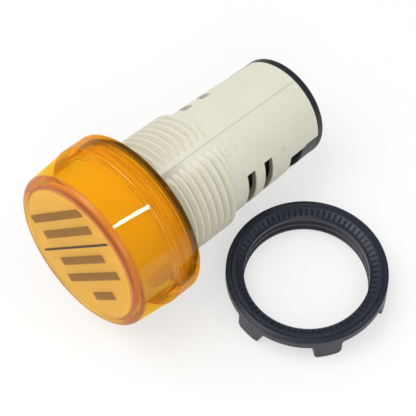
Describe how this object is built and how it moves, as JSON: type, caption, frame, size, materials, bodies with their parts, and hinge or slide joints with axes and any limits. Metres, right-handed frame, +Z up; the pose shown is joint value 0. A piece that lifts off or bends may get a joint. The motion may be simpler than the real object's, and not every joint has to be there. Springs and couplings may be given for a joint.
{
  "type": "panel indicator light",
  "caption": "Round amber panel indicator light with a threaded neck, vented cream body, screw terminals in a black base and a separate toothed lock nut.",
  "frame": {"origin": "centre of the panel plane, where the rear face of the gasket meets the panel", "axes": "+Z up with the lamp lying on a flat surface, lens towards -Y and tail towards +Y, nut beside it towards +X; the lamp's axis is tilted about 8.5 degrees so that it rests on the lens edge and the tail rim"},
  "size_m": [0.0533, 0.0521, 0.0307],
  "materials": {
    "amber_lens": "clear amber moulded plastic, polished",
    "film": "thin matte peel-off film",
    "gasket_rubber": "flat black rubber",
    "cream_plastic": "moulded cream plastic with a parting line",
    "white_board": "white board lacquer",
    "green_board": "green board lacquer",
    "chip_yellow": "yellow phosphor in a white frame",
    "black_epoxy": "moulded black epoxy",
    "resistor_blue": "blue lacquer with tinned caps",
    "red_epoxy": "dipped red epoxy",
    "strip_brass": "stamped brass",
    "screw_steel": "zinc plated steel",
    "black_plastic": "moulded black plastic",
    "nut_plastic": "blue-black moulded plastic with a slight sheen"
  },
  "bodies": {
    "lamp": {"lens": "amber_lens", "protective_film": "film", "panel_gasket": "gasket_rubber", "housing": "cream_plastic", "led_board": "white_board", "led_1": "chip_yellow", "led_2": "chip_yellow", "led_3": "chip_yellow", "led_4": "chip_yellow", "driver_board": "green_board", "bridge_rectifier": "black_epoxy", "resistor_1": "resistor_blue", "resistor_2": "resistor_blue", "capacitor": "red_epoxy", "terminal_strip_a": "strip_brass", "terminal_strip_b": "strip_brass", "terminal_base": "black_plastic", "mounting_nut": "nut_plastic"},
    "clamp_a": {"clamp_plate_a": "screw_steel"},
    "screw_a": {"terminal_screw_a": "screw_steel"},
    "clamp_b": {"clamp_plate_b": "screw_steel"},
    "screw_b": {"terminal_screw_b": "screw_steel"}
  },
  "joints": [
    {"name": "clamp_a_slide", "type": "slide", "parent": "lamp", "child": "clamp_a", "axis": [0, -0.9889, 0.1483], "range_m": [0, 0.002]},
    {"name": "screw_a_turn", "type": "hinge", "parent": "clamp_a", "child": "screw_a", "pos_m": [0.00422, 0.03011, -0.00558], "axis": [0, -0.9889, 0.1483], "range_deg": [0, 1600]},
    {"name": "clamp_b_slide", "type": "slide", "parent": "lamp", "child": "clamp_b", "axis": [0, -0.9889, 0.1483], "range_m": [0, 0.002]},
    {"name": "screw_b_turn", "type": "hinge", "parent": "clamp_b", "child": "screw_b", "pos_m": [-0.00422, 0.03042, -0.0035], "axis": [0, -0.9889, 0.1483], "range_deg": [0, 1600]}
  ],
  "couplings": [
    {"joint": "screw_a_turn", "follows": "clamp_a_slide", "rad_per_m": 13963},
    {"joint": "screw_b_turn", "follows": "clamp_b_slide", "rad_per_m": 13963}
  ]
}
